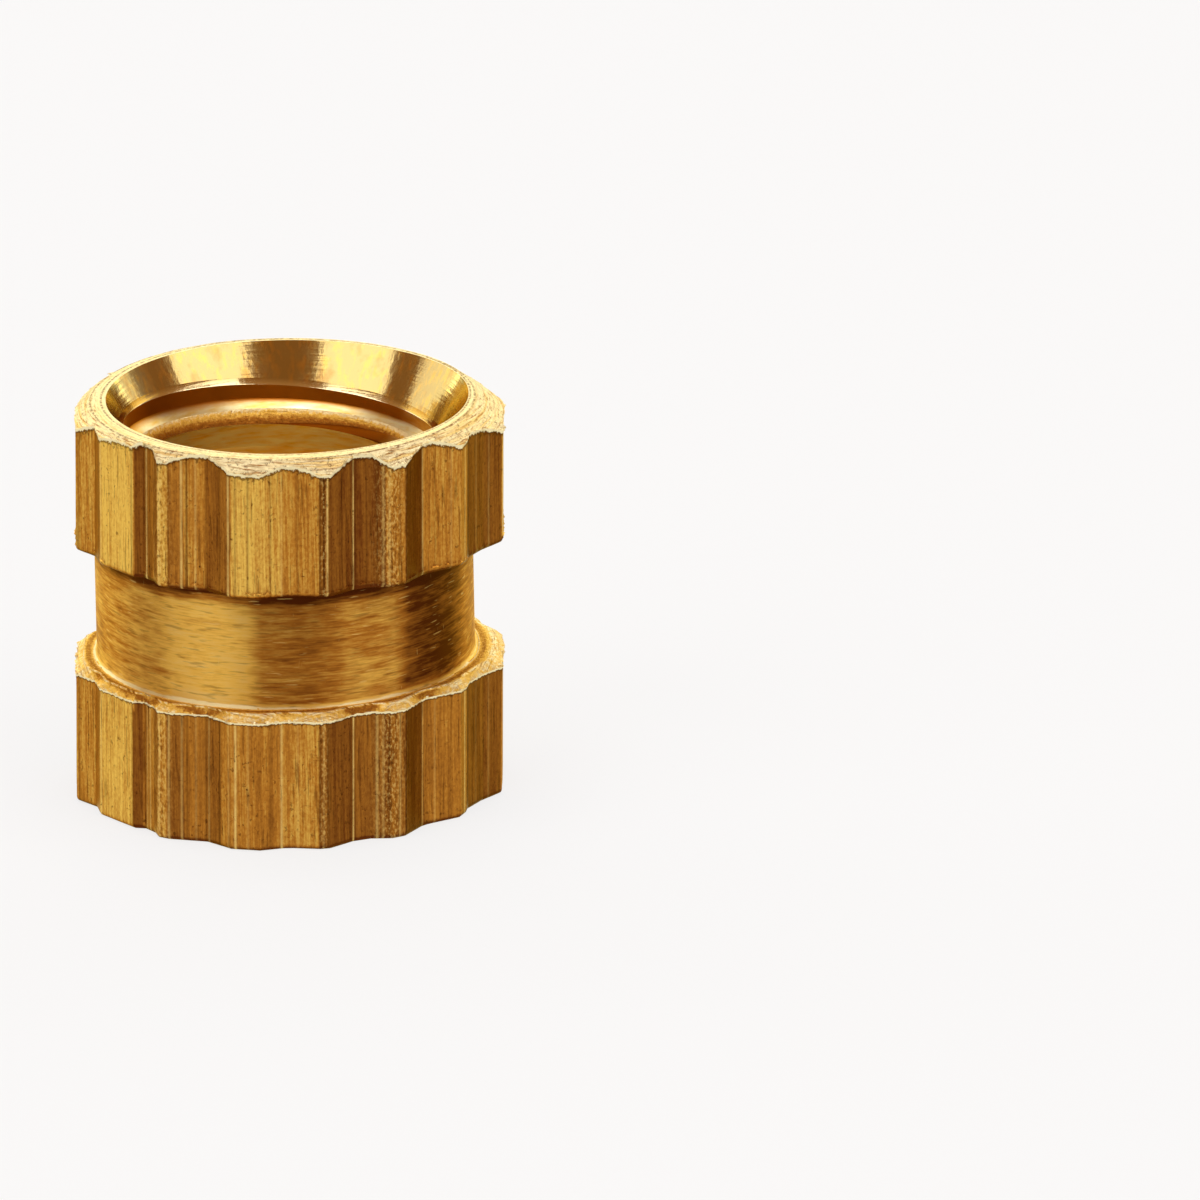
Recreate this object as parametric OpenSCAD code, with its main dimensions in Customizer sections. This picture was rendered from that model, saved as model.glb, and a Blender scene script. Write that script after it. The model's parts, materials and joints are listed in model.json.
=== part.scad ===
// Brass threaded insert, one turned piece, with two straight-knurled bands and a plain waist.
// The bar is knurled along its whole length first. Then the waist, the chamfers and the hole
// are turned, so the teeth of both bands line up. Lengths are in millimetres.
// The origin is the centre of the foot face, and +Z runs up the hole.

/* [Knurled bands] */
// Diameter over the crests of the teeth
band_d = 4.2; // [4.1:0.05:5]
// Length of the lower band
lower_band_len = 1.4; // [1:0.1:4]
// Length of the upper band
upper_band_len = 1.4; // [1:0.1:4]

/* [Knurl] */
// Depth of the deepest grooves between the teeth
tooth_depth = 0.17; // [0.08:0.01:0.18]

/* [Waist] */
// Diameter of the waist
waist_d = 3.72; // [3.7:0.01:3.8]
// Length of the waist between the bands
waist_len = 1.2; // [0.6:0.1:3]
// Corner left by the turning tool where the waist meets each band
waist_corner = 0.05; // [0.02:0.01:0.1]

/* [Outer edges] */
// Chamfer of the teeth where each band meets the waist
shoulder_chamfer = 0.08; // [0.02:0.01:0.15]
// Chamfer of the teeth at the foot
foot_chamfer = 0.06; // [0.02:0.01:0.1]
// Flat land between the mouth and the top chamfer
mouth_land = 0.1; // [0.04:0.01:0.14]
// Drop of the shallow top chamfer, from the land to the crests
top_chamfer_drop = 0.14; // [0.05:0.01:0.3]

/* [Hole] */
// Diameter at the crests of the screw thread
bore_d = 2.55; // [2.4:0.05:2.8]
// Diameter of the countersunk mouth at each end face
mouth_d = 3.56; // [3.4:0.02:3.6]
// Diameter at the bottom of the countersink, just over the screw
mouth_base_d = 3.1; // [3:0.05:3.3]
// Depth of the countersink
mouth_depth = 0.42; // [0.2:0.02:0.45]
// Height of the sloping shoulder between the countersink and the bore
mouth_shoulder_h = 0.16; // [0.05:0.01:0.2]

/* [Hidden] */
$fn = 96;
brass = "goldenrod";
overcut = 0.2;
insert_len = lower_band_len + waist_len + upper_band_len;
band_r = band_d / 2;
waist_r = waist_d / 2;
land_r = mouth_d / 2 + mouth_land;
// The turning profile stands clear of the teeth, so only its chamfers cut them
clear_r = band_r + overcut;
top_chamfer_slope = top_chamfer_drop / (band_r - land_r);
mouth_flare = (mouth_d - mouth_base_d) / 2 / mouth_depth;

// Corners of the teeth over half a turn: degrees from the front, which is -Y, and depth under the
// crests as a share of the deepest groove. The knurling wheel is half as big round as the bar and
// its teeth are uneven, so the same corners come round twice.
wheel = [
    [-88, 0], [-77, 0.1], [-70, 0.45], [-63.5, 0.15], [-49, 0.45],
    [-46.5, 0.85], [-41.6, 0.65], [-38.5, 0.2], [-35.5, 0.25], [-30.7, 0.6],
    [-24.4, 0.9], [-19.4, 0.45], [-16, 0.05], [-8, 0], [-1.7, 0.5],
    [1, 0.5], [8.4, 0.1], [11.3, 0.1], [19, 0.95], [24.5, 0.95],
    [28.3, 0.5], [30, 0.3], [33.9, 0.25], [42.5, 1], [45, 1],
    [55, 0.15], [59, 0.2], [62, 0.7], [70, 0.6], [77, 0]
];

function rim_point(r, degrees) = [r * sin(degrees), -r * cos(degrees)];

module knurled_bar() {
    linear_extrude(height = insert_len)
        polygon([
            for (half_turn = [0, 180])
                for (corner = wheel)
                    rim_point(band_r - tooth_depth * corner[1], half_turn + corner[0])
        ]);
}

// Half section of what the lathe leaves: foot chamfer, waist, shoulder chamfers and top chamfer
module turned_outline() {
    waist_z = lower_band_len;
    upper_z = lower_band_len + waist_len;
    shoulder_r = band_r - shoulder_chamfer;
    rotate_extrude()
        polygon([
            [0, 0],
            [band_r - foot_chamfer, 0],
            [clear_r, foot_chamfer + overcut],
            [clear_r, waist_z - shoulder_chamfer - overcut],
            [shoulder_r, waist_z],
            [waist_r + waist_corner, waist_z],
            [waist_r, waist_z + waist_corner],
            [waist_r, upper_z - waist_corner],
            [waist_r + waist_corner, upper_z],
            [shoulder_r, upper_z],
            [clear_r, upper_z + shoulder_chamfer + overcut],
            [clear_r, insert_len - (clear_r - land_r) * top_chamfer_slope],
            [land_r, insert_len],
            [0, insert_len]
        ]);
}

// Bore with a countersunk mouth at both ends
module threaded_hole() {
    cutter_mouth_r = mouth_d / 2 + mouth_flare * overcut;
    bore_start = mouth_depth + mouth_shoulder_h;
    rotate_extrude()
        polygon([
            [0, -overcut],
            [cutter_mouth_r, -overcut],
            [mouth_base_d / 2, mouth_depth],
            [bore_d / 2, bore_start],
            [bore_d / 2, insert_len - bore_start],
            [mouth_base_d / 2, insert_len - mouth_depth],
            [cutter_mouth_r, insert_len + overcut],
            [0, insert_len + overcut]
        ]);
}

module insert_body() {
    color(brass)
        difference() {
            intersection() {
                knurled_bar();
                turned_outline();
            }
            threaded_hole();
        }
}

insert_body();
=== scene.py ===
"""Threaded insert in brass: a turned piece with two straight-knurled bands and a tapped hole."""

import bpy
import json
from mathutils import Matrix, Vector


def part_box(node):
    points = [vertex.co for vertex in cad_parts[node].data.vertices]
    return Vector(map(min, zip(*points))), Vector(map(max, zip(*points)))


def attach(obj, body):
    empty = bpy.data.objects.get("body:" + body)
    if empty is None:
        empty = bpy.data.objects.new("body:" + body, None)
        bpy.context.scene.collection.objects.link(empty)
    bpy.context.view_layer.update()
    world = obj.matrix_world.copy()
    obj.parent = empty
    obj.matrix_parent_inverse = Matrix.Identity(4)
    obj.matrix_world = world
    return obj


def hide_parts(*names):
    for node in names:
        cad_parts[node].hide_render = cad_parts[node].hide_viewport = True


bl_info = {
    "name": "Knurled Brass Insert",
    "version": (1, 0, 0),
    "blender": (4, 5, 0),
    "location": "View3D > Sidebar > Insert",
    "description": "Turns, knurls and taps a brass threaded insert round its packed CAD solid",
    "category": "Object",
}

import json
import math

import bpy
import numpy as np
from mathutils import Matrix, Vector, noise

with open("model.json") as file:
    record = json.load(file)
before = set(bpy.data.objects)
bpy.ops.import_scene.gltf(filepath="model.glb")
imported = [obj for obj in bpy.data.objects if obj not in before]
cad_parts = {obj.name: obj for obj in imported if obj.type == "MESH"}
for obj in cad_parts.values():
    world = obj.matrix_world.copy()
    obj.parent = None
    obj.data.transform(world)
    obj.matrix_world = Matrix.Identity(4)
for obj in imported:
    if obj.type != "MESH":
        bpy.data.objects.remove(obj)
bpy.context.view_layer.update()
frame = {"nodes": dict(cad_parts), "record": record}

MM = 0.001
NODE = "insert_body"
LOW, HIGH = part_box(NODE)
MIDDLE_Z = (LOW.z + HIGH.z) / 2
SCREW_HOLE = next(m for m in frame["record"]["mounts"] if m["name"] == "screw_hole")
BORE_R = SCREW_HOLE["dims"]["r_mm"] * MM
CREST_R = max(v.co.xy.length for v in frame["nodes"][NODE].data.vertices)
# The mesh's columns round the bar, the steps of the thread and of the mouths, and the tolerance in
# metres for merging doubles and for comparing heights
COLUMNS, THREAD_STEPS, MOUTH_STEPS = 720, 160, 360
TINY = 1e-8

# One half turn of the knurl, as corners: degrees from the front, depth under the crests as a
# share of the deepest groove, and the painted light and shade of the facet after the corner in the
# upper and the lower band, where 0 is painted brown shade and 1 is painted bright. The knurling
# wheel is half as big round as the bar and its teeth are uneven, so the same corners come round
# twice.
WHEEL = (
    (-88, 0.00, 0.60, 0.50), (-77, -0.28, 0.55, 0.50), (-70, 0.45, 0.30, 0.45),
    (-63.5, 0.15, 0.85, 0.75), (-49, 0.45, 0.10, 0.12), (-46.5, 0.85, 0.24, 0.44),
    (-41.6, 0.65, 0.45, 0.50), (-38.5, 0.20, 0.72, 0.55), (-35.5, 0.25, 0.35, 0.22),
    (-30.7, 0.60, 0.48, 0.34), (-24.4, 0.90, 0.22, 0.24), (-19.4, 0.45, 0.26, 0.46),
    (-16, 0.05, 0.80, 0.42), (-8, 0.00, 0.72, 0.40), (-1.7, 0.50, 0.50, 0.53),
    (1, 0.50, 0.50, 0.55), (8.4, 0.10, 0.28, 0.25), (11.3, 0.10, 0.13, 0.12),
    (19, 0.95, 0.12, 0.22), (24.5, 0.95, 0.14, 0.24), (28.3, 0.50, 0.50, 0.28),
    (30, 0.30, 0.43, 0.28), (33.9, 0.25, 0.02, 0.00), (42.5, 1.00, 0.40, 0.30),
    (45, 1.00, 0.48, 0.37), (55, 0.25, 0.40, 0.34), (59, 0.40, 0.12, 0.10),
    (62, 0.65, 0.10, 0.12), (70, 0.45, 0.14, 0.14), (77, -0.25, 0.80, 0.50),
)
# Thin painted lines along the teeth's edges: degrees from the front, and the tone in the upper and
# the lower band. More than 0 is a painted highlight, and less is a painted line of shade.
LINES = (
    (-76, -0.4, -0.5), (-65, -0.9, -0.6), (-63.2, 0.5, 0.5), (-49.3, -0.6, -0.5),
    (-45.2, 0.9, 0.5), (-43.5, -0.4, 0.6), (-41, 0.3, 0.3), (-38.2, 0.6, 0.5), (-35, -0.5, 0.5),
    (-31.4, 0.8, 0.4), (-30.2, -0.9, -0.6), (-27.5, 0.4, 0.2), (-24.6, -0.5, -0.7),
    (-23.4, 0.0, 0.4), (-19.4, -0.5, -0.9), (-16.3, 0.9, 0.3), (-14.6, -0.5, 1.0), (-11, -0.6, 0.2),
    (-5, -0.4, -0.3), (-1.9, 0.3, 0.8), (2.5, -0.3, 0.2), (8.4, -0.9, -0.6), (9.3, -1.0, 0.3),
    (10.3, 1.0, -0.7), (11.2, -0.6, -0.5), (15, -0.4, -0.3), (17.8, 0.0, -0.6), (18.8, 0.9, 1.0),
    (19.5, -0.8, -0.6), (23, -0.4, 0.0), (26, -0.5, 0.5), (27.6, 0.4, 0.3), (29.2, 0.5, -0.5),
    (32, -0.3, 0.4), (33.8, -0.5, -0.7), (42.7, 0.6, 0.4), (47, -0.3, 0.2), (52, 0.2, -0.3),
    (57.6, 0.8, 1.0), (59.5, -0.7, -0.6), (66, 0.15, 0.1), (72, 0.2, 0.15), (80, 0.7, 0.5),
)
# Crests torn rough by the wheel: degrees from the front, and half width in degrees.
ROUGH = ((-38, 2.5), (9.5, 0.8), (29.5, 3))
# The bar stood a little crooked in the collet: the knurl leans on the turned axis, by this much
# sideways for each unit of height, and the waist, the mouth, the thread and the top chamfer are
# this far off centre in mm.
BAR_LEAN = 0.02
WAIST_OFF = -0.05
MOUTH_OFF = 0.015
THREAD_OFF = -0.05
CHAMFER_OFF = (-0.03, -0.06)
# Places where the chamfering tool tore deeper: degrees from the front, depth in mm, half width in
# degrees.
TEARS = (
    (-36, 0.10, 6), (12, 0.05, 4), (28, 0.09, 6), (-12, 0.02, 5), (-100, 0.06, 6), (140, 0.08, 7),
)
# Painted reflections round the waist, over half a turn: degrees from the front, and the painted
# light, from 0 dark to above 1 where it is painted brightest.
WAIST_PAINTED_LIGHT = (
    (-90, 0.60), (-60, 0.80), (-42, 0.86), (-37, 1.08), (-24, 1.16), (-13, 1.06), (-8, 0.66),
    (4, 0.56), (14, 0.60), (18, 0.72), (34, 0.70), (40, 0.22), (60, 0.12), (66, 0.34), (72, 0.60),
    (84, 0.60), (90, 0.60),
)
# Spurs of torn metal on the rims: degrees from the front, height in mm, size in mm.
SPURS = ((-122, 3.86, 0.10), (79, 3.86, 0.05))
# The worn flanks of the thread, in degrees from level.
UPPER_FLANK, LOWER_FLANK = 30, 13
# Where the tap began: degrees to the left, and how far below the foot in mm.
TAP_START, TAP_BELOW = 46, 1.288
# How far a cutting tool reaches past the end faces, in mm.
OVERCUT = 0.2
# How far from the waist its finish still lies on the rounded corners, in mm.
WAIST_REACH = 0.08
# The insert's materials, in the order of their slots.
KNURLED, FACED, TURNED, BORED, TAPPED = range(5)


def linear(hex_colour):
    """An sRGB hex colour as linear red, green and blue."""
    parts = [int(hex_colour[i : i + 2], 16) / 255 for i in (1, 3, 5)]
    return [p / 12.92 if p <= 0.04045 else ((p + 0.055) / 1.055) ** 2.4 for p in parts]


def length(name, description, millimetres):
    """A length property in metres, with its default given in millimetres."""
    return bpy.props.FloatProperty(
        name=name, description=description, default=millimetres * MM, unit="LENGTH", precision=5
    )


def colour(name, description, hex_colour):
    """A colour property with its default given in sRGB hex."""
    return bpy.props.FloatVectorProperty(
        name=name, description=description, default=(*linear(hex_colour), 1), size=4,
        subtype="COLOR", min=0, max=1,
    )


class InsertSizes(bpy.types.PropertyGroup):
    """Sizes of the turned and knurled piece"""

    band: length("Band Length", "Length of each knurled band", 1.4)
    waist_radius: length("Waist Radius", "Radius of the plain waist", 1.86)
    land_radius: length("Land Radius", "Outer radius of the flat land round the mouth", 1.89)
    top_drop: length("Top Chamfer Drop", "Drop of the shallow top chamfer at the crests", 0.16)
    tooth_depth: length("Tooth Depth", "Depth of the deepest grooves of the knurl", 0.17)
    edge: length("Edge Break", "Broken edge of the teeth at the waist and the foot", 0.05)
    shoulder: length("Shoulder Bevel", "Torn bevel at the top of the lower teeth", 0.08)
    burr: length("Burr", "How far the torn lip stands out where the tools left the teeth", 0.02)
    mouth_radius: length("Mouth Radius", "Radius of the countersink at the end face", 1.78)
    mouth_base: length("Mouth Base", "Radius at the bottom of the countersink", 1.55)
    mouth_depth: length("Mouth Depth", "Depth of the countersink", 0.42)
    mouth_reach: length("Mouth Reach", "How far down the countersink cuts the thread", 0.74)
    pitch: length("Thread Pitch", "Distance between turns of the thread", 0.5)
    thread_major: length("Thread Major Radius", "Radius at the roots of the thread", 1.557)
    thread_root: length("Thread Root", "Height of the flat at the roots of the thread", 0.25)


class InsertColours(bpy.types.PropertyGroup):
    """Colours of the brass and of the studio"""

    brass: colour("Brass", "Free-cutting brass as the bar is drawn", "#BA7A2A")
    # In the knurl and on the waist this is also the painted light, where the tone is painted bright.
    bright: colour("Bright Brass", "Brass where the teeth are rubbed", "#EFC35A")
    # In the knurl and on the waist this brown is also the painted shade, where the tone is painted
    # darkest.
    deep: colour("Deep Brass", "Brown of the drawing lines, where the brass has dulled", "#602C0D")
    # Colour of the painted highlights along the teeth and on the waist, and also of scratch edges and
    # specks.
    rubbed_and_highlit: colour("Rubbed Brass", "Edges rubbed bright along the teeth", "#F0CE78")
    # Also the pale painted highlight on the waist's lower corner and along the bottom edge of the
    # countersinks.
    fresh: colour("Fresh Brass", "Pale brass, freshly cut by the lathe tool", "#F8EAB9")
    bored: colour("Bored Brass", "Smooth brass of the countersunk mouths", "#C8B274")
    # Colour of the pits, and of painted shade: the dark lines along the teeth and the shadow line
    # painted beneath the burrs.
    pit_and_shade: colour("Pits", "Dark brown of the pits in the knurl", "#4A2307")
    floor: colour("Floor", "Pale studio floor", "#F6F6F6")
    sky: colour("Room Behind", "Pale room behind and above the insert", "#C8C8C8")
    room: colour("Room in Front", "Dim, warm room where the camera stands", "#986A3E")


# ---- Modelling helpers -----------------------------------------------------------------


def only(obj):
    """Makes obj the one selected and active object."""
    bpy.ops.object.select_all(action="DESELECT")
    obj.select_set(True)
    bpy.context.view_layer.objects.active = obj


def edit_all():
    """Opens the active mesh in edit mode with all of it selected."""
    bpy.ops.object.mode_set(mode="EDIT")
    bpy.ops.mesh.select_all(action="SELECT")


def tidy_mesh():
    """Merges doubles, turns the faces outwards and leaves edit mode."""
    bpy.ops.mesh.select_all(action="SELECT")
    bpy.ops.mesh.remove_doubles(threshold=TINY)
    bpy.ops.mesh.normals_make_consistent(inside=False)
    bpy.ops.object.mode_set(mode="OBJECT")


def points_of(obj):
    """The mesh's vertices as an array of rows x, y, z."""
    points = np.empty(len(obj.data.vertices) * 3)
    obj.data.vertices.foreach_get("co", points)
    return points.reshape(-1, 3)


def put_points(obj, points):
    """Moves the mesh's vertices to these rows."""
    obj.data.vertices.foreach_set("co", points.ravel())
    obj.data.update()


def section_loop(name, section):
    """A closed loop of edges through the section's (radius, height) points, standing on +X."""
    bpy.ops.object.select_all(action="DESELECT")
    bpy.ops.mesh.primitive_circle_add(vertices=len(section), radius=CREST_R)
    loop = bpy.context.active_object
    loop.name = name
    put_points(loop, np.array([(r, 0, z) for r, z in section]))
    return loop


def waves(x, y, z):
    """Smooth noise between about -1 and 1 at these arrays of places, with lumps about 1 wide."""
    return np.array([noise.noise((a, b, c)) for a, b, c in zip(x, y, z, strict=True)])


def bell(distance, width):
    """1 at no distance, which falls smoothly to 0.37 at this width and to nothing beyond it."""
    return np.exp(-((distance / width) ** 2))


def half_turn(degrees):
    """The angles brought between -90 and 90, since the wheel's corners come round twice."""
    return (degrees + 90) % 180 - 90


def line(start, end, shares):
    """Points from start to end at these shares of the way."""
    return [tuple(a + t * (b - a) for a, b in zip(start, end, strict=True)) for t in shares]


def quarter(centre, radius, first, last, steps=3):
    """Points of an arc between two angles in degrees, both ends left out."""
    turns = np.radians(np.linspace(first, last, steps + 2)[1:-1])
    return [(centre[0] + radius * math.cos(t), centre[1] + radius * math.sin(t)) for t in turns]


# ---- The piece -------------------------------------------------------------------------


def knurl(degrees, tooth_depth):
    """Radius of the knurled bar, and the painted light and shade of both bands' facets, at these
    angles from the front."""
    corners = [(a, CREST_R - share * tooth_depth, *painted_light) for a, share, *painted_light in WHEEL]
    corners.append((corners[0][0] + 180, *corners[0][1:]))
    start = corners[0][0]
    place = (degrees - start) % 180 + start
    radius, upper, lower = (np.empty_like(place) for _ in range(3))
    for (a, r, high, low), (b, s, *_) in zip(corners[:-1], corners[1:], strict=True):
        on = (place >= a) & (place <= b)
        span = math.radians(b - a)
        past = np.radians(place[on] - a)
        radius[on] = r * s * math.sin(span) / (r * np.sin(past) + s * np.sin(span - past))
        upper[on], lower[on] = high, low
    return radius, upper, lower


def band_section(top, bottom):
    """Points down one band, close together at both ends where the burrs are."""
    close = [near * MM for near in (0.012, 0.03, 0.055)]
    heights = [top, *(top - c for c in close)]
    heights += list(np.linspace(top - 0.11 * MM, bottom + 0.11 * MM, 11))
    heights += [*(bottom + c for c in reversed(close)), bottom]
    return [(CREST_R, z) for z in heights]


def blank_section(s):
    """Half section of the turned blank, from its pilot hole over the outside to the foot."""
    pilot = s.mouth_base * 0.65
    upper, lower, top = HIGH.z - s.band, s.band, HIGH.z
    corner = 0.05 * MM
    land, waist = s.land_radius, s.waist_radius
    wall_r = CREST_R - s.edge
    section = line((pilot, top), (land, top), (0, 0.6, 0.95, 0.965, 0.98, 0.99, 1))
    section += line((land, top), (CREST_R, top - s.top_drop), np.linspace(0.09, 0.91, 10))
    section += band_section(top - s.top_drop, upper + s.edge)
    section += quarter((wall_r, upper + s.edge), s.edge, 0, -90)
    section += line((wall_r, upper), (waist + corner, upper), (0, 0.35, 0.7, 1))
    section += quarter((waist + corner, upper - corner), corner, 90, 180)
    section += line((waist, upper - corner), (waist, lower + corner), np.linspace(0, 1, 10))
    section += quarter((waist + corner, lower + corner), corner, 180, 270)
    bevel_r = CREST_R - s.shoulder
    section += line((waist + corner, lower), (bevel_r, lower), (0, 0.3, 0.65, 1))
    section += line((bevel_r, lower), (CREST_R, lower - s.shoulder), (0.25, 0.5, 0.75))
    section += band_section(lower - s.shoulder, s.edge)
    section += quarter((wall_r, s.edge), s.edge, 0, -90)
    section += line((wall_r, LOW.z), (pilot, LOW.z), (0, 0.3, 1))
    return section


def turn_blank(s):
    """Turns the plain blank, with a pilot hole right through it."""
    blank = section_loop("insert", blank_section(s))
    edit_all()
    bpy.ops.mesh.spin(steps=COLUMNS, angle=2 * math.pi, center=(0, 0, 0), axis=(0, 0, 1))
    tidy_mesh()
    return blank


def chamfer_height(x, y, s):
    """Height of the top face and its chamfer at these places."""
    off_x, off_y = (off * MM for off in CHAMFER_OFF)
    width = CREST_R - s.land_radius
    share = np.maximum(np.hypot(x - off_x, y - off_y) - s.land_radius, 0) / width
    degrees = np.degrees(np.arctan2(x, -y))
    torn = sum(deep * MM * bell(degrees - at, half) for at, deep, half in TEARS)
    return HIGH.z - s.top_drop * share - torn * np.clip(share, 0, 1) ** 1.5


def press_knurl(blank, s):
    """Presses the wheel's teeth into the blank, and leaves torn lips where the tools cut them."""
    x, y, z = points_of(blank).T
    radius = np.hypot(x, y)
    degrees = np.degrees(np.arctan2(x, -y))
    upper, lower, top = HIGH.z - s.band, s.band, HIGH.z
    on_top = z > top - s.top_drop - TINY
    on_foot = z < s.edge - TINY
    on_waist = (z > lower - TINY) & (z < upper + TINY)
    inner = np.select([on_top, on_foot], [s.land_radius, s.mouth_radius], s.waist_radius)
    share = np.clip((radius - inner) / (CREST_R - inner), 0, 1)

    # Drawing lines of the bar run up the crests. The wheel has rolled them flat in the grooves.
    fine, coarse = 1 / (0.035 * MM), 1 / (0.16 * MM)
    depth = CREST_R - knurl(degrees, s.tooth_depth)[0]
    on_crest = 1 - np.clip(depth / (0.12 * MM), 0, 0.7)
    drawn = 0.0016 * waves(x * fine, y * fine, z * 900)
    drawn += 0.004 * waves(x * coarse, y * coarse, z * 1500)
    depth = depth + drawn * on_crest * MM

    # Torn lips: out over the ends of the teeth, gone within 0.06 mm, and uneven along the rim in
    # lumps 0.04 and 0.11 mm wide.
    ends = (top - s.top_drop, upper + s.edge, lower - s.shoulder)
    near = np.min([np.abs(z - end) for end in ends], axis=0)
    torn = np.exp(-near / (0.022 * MM)) * (share > 0.55)
    ragged = waves(x * 26e3, y * 26e3, z * 9e3) + 0.8 * waves(x * 9e3, y * 9e3, z * 5e3)
    lip = s.burr * torn * np.clip(0.25 + ragged, 0, 1.4)
    for angle, height, size in SPURS:
        aside = np.radians(degrees - angle) * CREST_R
        lip += size * MM * bell(np.hypot(aside, z - height * MM), 0.03 * MM) * (share > 0.6)

    pressed = radius - depth * share + lip
    side = BAR_LEAN * (z - MIDDLE_Z) * share
    side += np.where(on_waist, WAIST_OFF * MM * (1 - share), 0)
    x, y = x * pressed / radius + side, y * pressed / radius

    # The shallow top chamfer is one cone about the turned axis, so the teeth run out on it. It is
    # torn rough in lumps 0.06 and 0.03 mm wide.
    band_foot = upper + s.edge
    rise = np.clip((z - band_foot) / (top - s.top_drop - band_foot), 0, 1)
    cone = chamfer_height(x, y, s)
    rim = np.where(on_top, cone, z + (cone - (top - s.top_drop)) * rise)
    z = np.where(z > band_foot, rim, z)
    rough = waves(x * 16e3, y * 16e3, z * 0 + 3) + 0.6 * waves(x * 38e3, y * 38e3, z * 0 + 8)
    z = z + 0.009 * MM * rough * np.where(on_top, share, torn) + 0.5 * lip
    put_points(blank, np.column_stack([x, y, z]))


def helix_section(s):
    """One pitch of the worn thread as (radius, height): crest, upper flank, root, lower flank."""
    deep = s.thread_major - BORE_R
    upper, lower = (deep * math.tan(math.radians(a)) for a in (UPPER_FLANK, LOWER_FLANK))
    crest = s.pitch - s.thread_root - upper - lower
    heights = [0, crest, crest + upper, s.pitch - lower, s.pitch]
    radii = (BORE_R, BORE_R, s.thread_major, s.thread_major, BORE_R)
    return list(zip(radii, heights, strict=True))


def thread_cutter(s):
    """A right-hand screw longer than the insert, which leaves the thread when it is cut out."""
    section = helix_section(s)
    loop = section_loop("screw_cutter", section)
    bpy.ops.object.mode_set(mode="EDIT")
    bpy.ops.mesh.select_mode(type="EDGE")
    bpy.ops.mesh.select_all(action="DESELECT")
    bpy.ops.object.mode_set(mode="OBJECT")
    # The edge that closes the loop isn't part of the thread.
    for edge in loop.data.edges:
        edge.select = set(edge.vertices) == {0, len(section) - 1}
    bpy.ops.object.mode_set(mode="EDIT")
    bpy.ops.mesh.delete(type="EDGE")
    bpy.ops.object.mode_set(mode="OBJECT")
    screw = loop.modifiers.new("Screw", "SCREW")
    screw.axis = "Z"
    screw.angle = 2 * math.pi
    screw.screw_offset = s.pitch
    # So many turns reach from below the foot to above the top.
    screw.iterations = 13
    screw.steps = screw.render_steps = THREAD_STEPS
    screw.use_merge_vertices = False
    screw.use_smooth_shade = False
    bpy.ops.object.modifier_apply(modifier=screw.name)
    edit_all()
    bpy.ops.mesh.remove_doubles(threshold=1e-7)
    # With no window this operator turns the other way, so the minus sign turns it to the left.
    bpy.ops.transform.rotate(
        value=math.radians(-TAP_START), orient_axis="Z", center_override=(0, 0, 0)
    )
    bpy.ops.transform.translate(value=(THREAD_OFF * MM, 0, -TAP_BELOW * MM))
    for height, above in ((LOW.z - OVERCUT * MM, False), (HIGH.z + OVERCUT * MM, True)):
        bpy.ops.mesh.select_all(action="SELECT")
        bpy.ops.mesh.bisect(
            plane_co=(0, 0, height), plane_no=(0, 0, 1), use_fill=True,
            clear_outer=above, clear_inner=not above, threshold=1e-9,
        )
    tidy_mesh()
    return loop


def mouth_cutter(s, face, inward):
    """A countersinking tool for the mouth at height face, which cuts down into the top with inward
    at -1, and up into the foot with inward at 1."""
    flare = (s.mouth_radius - s.mouth_base) / s.mouth_depth
    over = OVERCUT * MM
    rings = [
        (BORE_R * 0.9, s.mouth_reach + 0.05 * MM),
        (s.mouth_radius - s.mouth_reach * flare, s.mouth_reach),
        (s.mouth_radius + over * flare, -over),
    ]
    bpy.ops.object.select_all(action="DESELECT")
    bpy.ops.mesh.primitive_circle_add(
        vertices=MOUTH_STEPS, radius=rings[0][0], fill_type="NGON",
        location=(0, 0, face + inward * rings[0][1]),
    )
    tool = bpy.context.active_object
    tool.name = "mouth_cutter"
    bpy.ops.object.transform_apply(location=True, rotation=True, scale=True)
    edit_all()
    for (r0, d0), (r1, d1) in zip(rings[:-1], rings[1:], strict=True):
        bpy.ops.mesh.extrude_region_move(
            TRANSFORM_OT_translate={"value": (0, 0, inward * (d1 - d0))}
        )
        bpy.ops.transform.resize(value=(r1 / r0, r1 / r0, 1), center_override=(0, 0, 0))
    bpy.ops.mesh.select_all(action="SELECT")
    bpy.ops.transform.translate(value=(MOUTH_OFF * MM, 0, 0))
    tidy_mesh()
    return tool


def cut(obj, tool):
    """Cuts the tool's shape out of obj, and throws the tool away."""
    only(obj)
    change = obj.modifiers.new("Cut", "BOOLEAN")
    change.operation = "DIFFERENCE"
    change.solver = "EXACT"
    change.object = tool
    bpy.ops.object.modifier_apply(modifier=change.name)
    bpy.data.objects.remove(tool)


def shape_insert(s):
    """The whole piece: blank, knurl, thread and both mouths."""
    blank = turn_blank(s)
    press_knurl(blank, s)
    cut(blank, thread_cutter(s))
    cut(blank, mouth_cutter(s, HIGH.z, -1))
    cut(blank, mouth_cutter(s, LOW.z, 1))
    only(blank)
    edit_all()
    tidy_mesh()
    bpy.ops.object.shade_smooth_by_angle(angle=math.radians(20))
    return blank


# ---- Materials -------------------------------------------------------------------------
#
# Inputs are given by number where a node has many alike. A Map Range takes the value, the two ends
# of its range and the two ends that they turn into. A Mix takes its share at 0 and its colours at
# 6 and 7. Each pattern is a row: how long its lumps are along each axis in mm, detail, roughness.


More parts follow.
